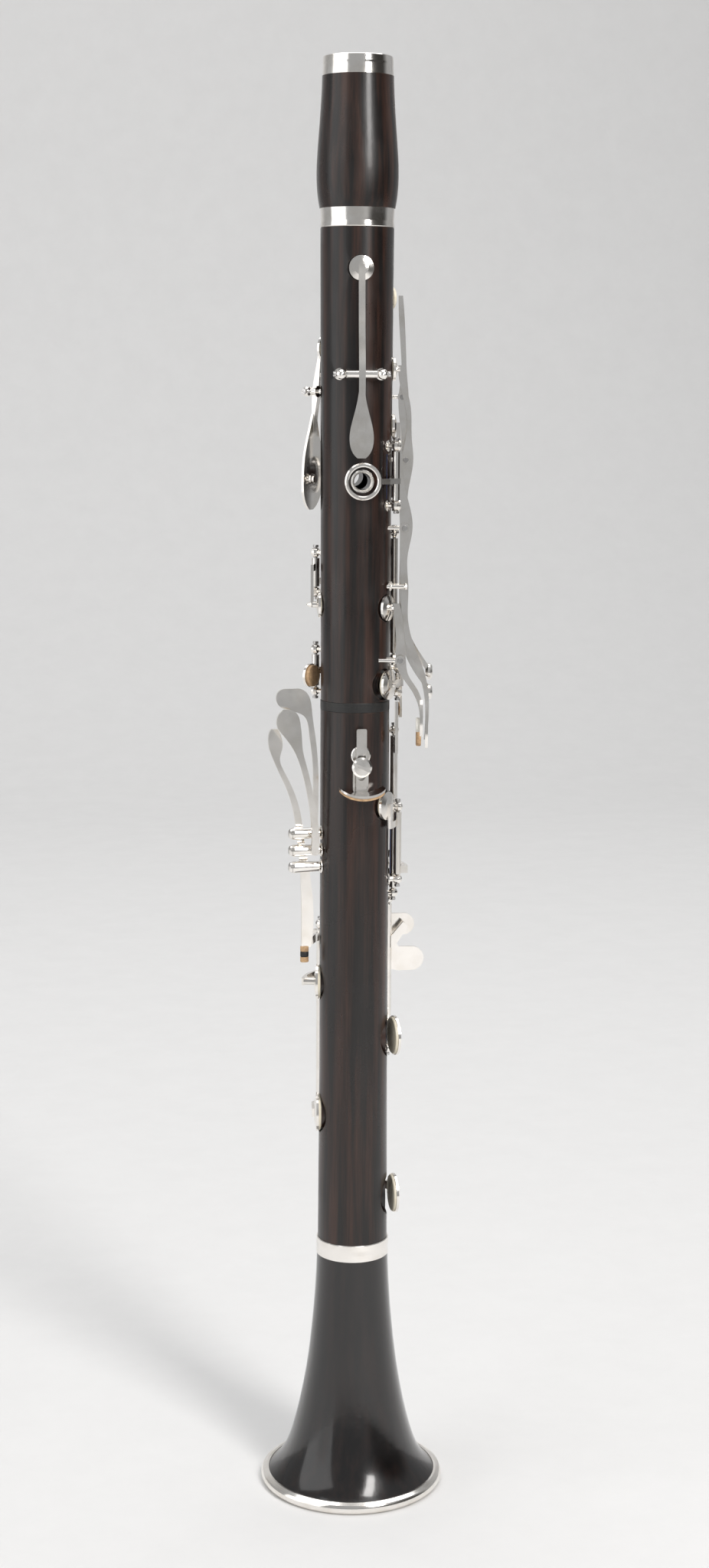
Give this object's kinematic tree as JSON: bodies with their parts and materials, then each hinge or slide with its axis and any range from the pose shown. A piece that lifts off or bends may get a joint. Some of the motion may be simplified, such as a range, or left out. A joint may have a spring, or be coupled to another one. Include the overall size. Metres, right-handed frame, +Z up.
{
  "type": "soprano clarinet without mouthpiece",
  "caption": "Straight dark wood woodwind with silver keys, ring stacks, tall side levers, a thumb rest and a flared bell, standing on its bell.",
  "frame": {"origin": "centre of the bell's rim, on the plane the instrument stands on", "axes": "+Z up the bore towards the mouthpiece end, -Y the thumb side, +X the player's right hand side"},
  "size_m": [0.0774, 0.0774, 0.5915],
  "materials": {
    "grenadilla": "oiled, satin to glossy",
    "silver_plate": "polished silver plate",
    "steel_rod": "turned",
    "blued_steel": "heat blued",
    "cork": "matte",
    "pad_skin": "soft, semi matte",
    "black_composite": "matte"
  },
  "bodies": {
    "instrument": {"upper_joint_body": "grenadilla", "tenon_corks": "cork", "bore_tubes": "silver_plate", "lower_joint_body": "grenadilla", "lower_joint_socket_band": "black_composite", "bell_body": "grenadilla", "bell_socket_ring": "silver_plate", "bell_rim_ring": "silver_plate", "upper_posts": "silver_plate", "lower_posts": "silver_plate", "hinge_rods": "steel_rod", "lever_studs": "silver_plate", "needle_springs": "blued_steel", "side_key_guide": "silver_plate", "thumb_rest_base": "silver_plate", "thumb_rest_screw": "silver_plate"},
    "barrel": {"barrel_body": "grenadilla", "barrel_rings": "silver_plate"},
    "thumb_rest": {"thumb_rest_slide": "silver_plate", "thumb_rest_cork": "cork"},
    "thumb_ring_key": {"thumb_ring_key": "silver_plate"},
    "upper_ring_key": {"upper_ring_key": "silver_plate", "upper_ring_pad": "pad_skin"},
    "middle_ring_key": {"middle_ring_key": "silver_plate", "middle_ring_pad": "pad_skin"},
    "bridge_key": {"bridge_key": "silver_plate", "bridge_pad": "pad_skin"},
    "c_sharp_key": {"c_sharp_key": "silver_plate", "c_sharp_pad": "pad_skin"},
    "sliver_key": {"sliver_key": "silver_plate", "sliver_pad": "pad_skin"},
    "lower_ring_key": {"lower_ring_key": "silver_plate", "lower_ring_pad": "pad_skin"},
    "fork_key": {"fork_key": "silver_plate", "fork_pad": "pad_skin"},
    "f_key": {"f_key": "silver_plate", "f_pad": "pad_skin"},
    "e_key": {"e_key": "silver_plate", "e_pad": "pad_skin"},
    "a_flat_key": {"a_flat_key": "silver_plate", "a_flat_pad": "pad_skin"},
    "f_sharp_key": {"f_sharp_key": "silver_plate", "f_sharp_pad": "pad_skin"},
    "register_key": {"register_key": "silver_plate", "register_pad": "pad_skin"},
    "throat_a_key": {"throat_a_key": "silver_plate", "throat_a_pad": "pad_skin"},
    "g_sharp_key": {"g_sharp_key": "silver_plate", "g_sharp_pad": "pad_skin"},
    "trill_key_4": {"trill_key_4": "silver_plate", "trill_pad_4": "pad_skin"},
    "trill_key_3": {"trill_key_3": "silver_plate", "trill_pad_3": "pad_skin"},
    "side_key_2": {"side_key_2": "silver_plate", "side_pad_2": "pad_skin"},
    "side_key_1": {"side_key_1": "silver_plate", "side_pad_1": "pad_skin"},
    "lever_f": {"lever_f": "silver_plate"},
    "lever_e": {"lever_e": "silver_plate"},
    "lever_f_sharp": {"lever_f_sharp": "silver_plate"}
  },
  "joints": [
    {"name": "barrel_tuning", "type": "slide", "parent": "instrument", "child": "barrel", "axis": [0, 0, 1], "range_m": [0, 0.003]},
    {"name": "thumb_rest_adjust", "type": "slide", "parent": "instrument", "child": "thumb_rest", "axis": [0, 0, 1], "range_m": [-0.003, 0.003]},
    {"name": "thumb_ring_key_hinge", "type": "hinge", "parent": "instrument", "child": "thumb_ring_key", "pos_m": [0.01448, -0.01152, 0.429], "axis": [0, 0, -1], "range_deg": [0, 4], "stiffness_Nm_per_rad": 0.02, "springref_deg": -22.92},
    {"name": "upper_ring_key_hinge", "type": "hinge", "parent": "instrument", "child": "upper_ring_key", "pos_m": [0.01706, 0.00689, 0.429], "axis": [0, 0, 1], "range_deg": [0, 4], "stiffness_Nm_per_rad": 0.02, "springref_deg": -22.92},
    {"name": "middle_ring_key_hinge", "type": "hinge", "parent": "instrument", "child": "middle_ring_key", "pos_m": [0.01706, 0.00689, 0.3795], "axis": [0, 0, 1], "range_deg": [0, 4], "stiffness_Nm_per_rad": 0.02, "springref_deg": -22.92},
    {"name": "bridge_key_hinge", "type": "hinge", "parent": "instrument", "child": "bridge_key", "pos_m": [0.01733, -0.00152, 0.3457], "axis": [0, 0, -1], "range_deg": [0, 6.3], "stiffness_Nm_per_rad": 0.02, "springref_deg": -22.92},
    {"name": "c_sharp_key_hinge", "type": "hinge", "parent": "instrument", "child": "c_sharp_key", "pos_m": [-0.01474, 0.01032, 0.349], "axis": [0, 0, 1], "range_deg": [0, 8], "stiffness_Nm_per_rad": 0.02, "springref_deg": -22.92},
    {"name": "sliver_key_hinge", "type": "hinge", "parent": "instrument", "child": "sliver_key", "pos_m": [-0.01493, 0.00933, 0.38925], "axis": [0, 0, -1], "range_deg": [0, 8], "stiffness_Nm_per_rad": 0.02, "springref_deg": -22.92},
    {"name": "lower_ring_key_hinge", "type": "hinge", "parent": "instrument", "child": "lower_ring_key", "pos_m": [0.01719, 0.00461, 0.29], "axis": [0, 0, 1], "range_deg": [0, 4], "stiffness_Nm_per_rad": 0.02, "springref_deg": -22.92},
    {"name": "fork_key_hinge", "type": "hinge", "parent": "instrument", "child": "fork_key", "pos_m": [0.0178, -0.00187, 0.278], "axis": [0, 0, 1], "range_deg": [0, 8], "stiffness_Nm_per_rad": 0.02, "springref_deg": -22.92},
    {"name": "f_key_hinge", "type": "hinge", "parent": "instrument", "child": "f_key", "pos_m": [0.01589, 0.00845, 0.22], "axis": [0, 0, -1], "range_deg": [0, 13.5], "stiffness_Nm_per_rad": 0.02, "springref_deg": -22.92},
    {"name": "e_key_hinge", "type": "hinge", "parent": "instrument", "child": "e_key", "pos_m": [0.01295, 0.0125, 0.1855], "axis": [0, 0, -1], "range_deg": [0, 10], "stiffness_Nm_per_rad": 0.02, "springref_deg": -22.92},
    {"name": "a_flat_key_hinge", "type": "hinge", "parent": "instrument", "child": "a_flat_key", "pos_m": [-0.00732, 0.01644, 0.225], "axis": [0, 0, -1], "range_deg": [0, 8], "stiffness_Nm_per_rad": 0.02, "springref_deg": -22.92},
    {"name": "f_sharp_key_hinge", "type": "hinge", "parent": "instrument", "child": "f_sharp_key", "pos_m": [-0.01204, 0.01338, 0.1985], "axis": [0, 0, -1], "range_deg": [0, 8], "stiffness_Nm_per_rad": 0.02, "springref_deg": -22.92},
    {"name": "register_key_hinge", "type": "hinge", "parent": "instrument", "child": "register_key", "pos_m": [-0.00098, -0.01877, 0.469], "axis": [0.9986, -0.0523, 0], "range_deg": [0, 3], "stiffness_Nm_per_rad": 0.02, "springref_deg": -22.92},
    {"name": "throat_a_key_hinge", "type": "hinge", "parent": "instrument", "child": "throat_a_key", "pos_m": [0.00066, 0.01879, 0.468], "axis": [-0.9994, 0.0349, 0], "range_deg": [0, 3], "stiffness_Nm_per_rad": 0.02, "springref_deg": -22.92},
    {"name": "g_sharp_key_hinge", "type": "hinge", "parent": "instrument", "child": "g_sharp_key", "pos_m": [-0.01397, 0.01258, 0.462], "axis": [-0.6691, -0.7431, 0], "range_deg": [0, 3], "stiffness_Nm_per_rad": 0.02, "springref_deg": -22.92},
    {"name": "trill_key_4_hinge", "type": "hinge", "parent": "instrument", "child": "trill_key_4", "pos_m": [0.01943, 0.00307, 0.46], "axis": [0.1736, 0.9848, 0], "range_deg": [0, 3], "stiffness_Nm_per_rad": 0.02, "springref_deg": -22.92},
    {"name": "trill_key_3_hinge", "type": "hinge", "parent": "instrument", "child": "trill_key_3", "pos_m": [0.01989, -0.00178, 0.435], "axis": [0.1736, 0.9848, 0], "range_deg": [0, 2.2], "stiffness_Nm_per_rad": 0.02, "springref_deg": -22.92},
    {"name": "side_key_2_hinge", "type": "hinge", "parent": "instrument", "child": "side_key_2", "pos_m": [0.01888, -0.00637, 0.408], "axis": [0.1736, 0.9848, 0], "range_deg": [0, 2.6], "stiffness_Nm_per_rad": 0.02, "springref_deg": -22.92},
    {"name": "side_key_1_hinge", "type": "hinge", "parent": "instrument", "child": "side_key_1", "pos_m": [0.01668, -0.01076, 0.355], "axis": [0.1736, 0.9848, 0], "range_deg": [0, 3.5], "stiffness_Nm_per_rad": 0.02, "springref_deg": -22.92},
    {"name": "lever_f_hinge", "type": "hinge", "parent": "instrument", "child": "lever_f", "pos_m": [-0.01991, -0.00192, 0.283], "axis": [0.9954, 0.0958, 0], "range_deg": [0, 2.6], "stiffness_Nm_per_rad": 0.02, "springref_deg": -22.92},
    {"name": "lever_e_hinge", "type": "hinge", "parent": "instrument", "child": "lever_e", "pos_m": [-0.01991, -0.00192, 0.276], "axis": [0.9954, 0.0958, 0], "range_deg": [0, 2.6], "stiffness_Nm_per_rad": 0.02, "springref_deg": -22.92},
    {"name": "lever_f_sharp_hinge", "type": "hinge", "parent": "instrument", "child": "lever_f_sharp", "pos_m": [-0.01991, -0.00192, 0.269], "axis": [0.9954, 0.0958, 0], "range_deg": [0, 2.6], "stiffness_Nm_per_rad": 0.02, "springref_deg": -22.92}
  ],
  "couplings": [
    {"joint": "upper_ring_key_hinge", "follows": "thumb_ring_key_hinge", "ratio": 1},
    {"joint": "bridge_key_hinge", "follows": "lower_ring_key_hinge", "ratio": 1.575},
    {"joint": "lever_f_hinge", "follows": "f_key_hinge", "ratio": 0.19258},
    {"joint": "lever_e_hinge", "follows": "e_key_hinge", "ratio": 0.26},
    {"joint": "lever_f_sharp_hinge", "follows": "f_sharp_key_hinge", "ratio": 0.325}
  ]
}
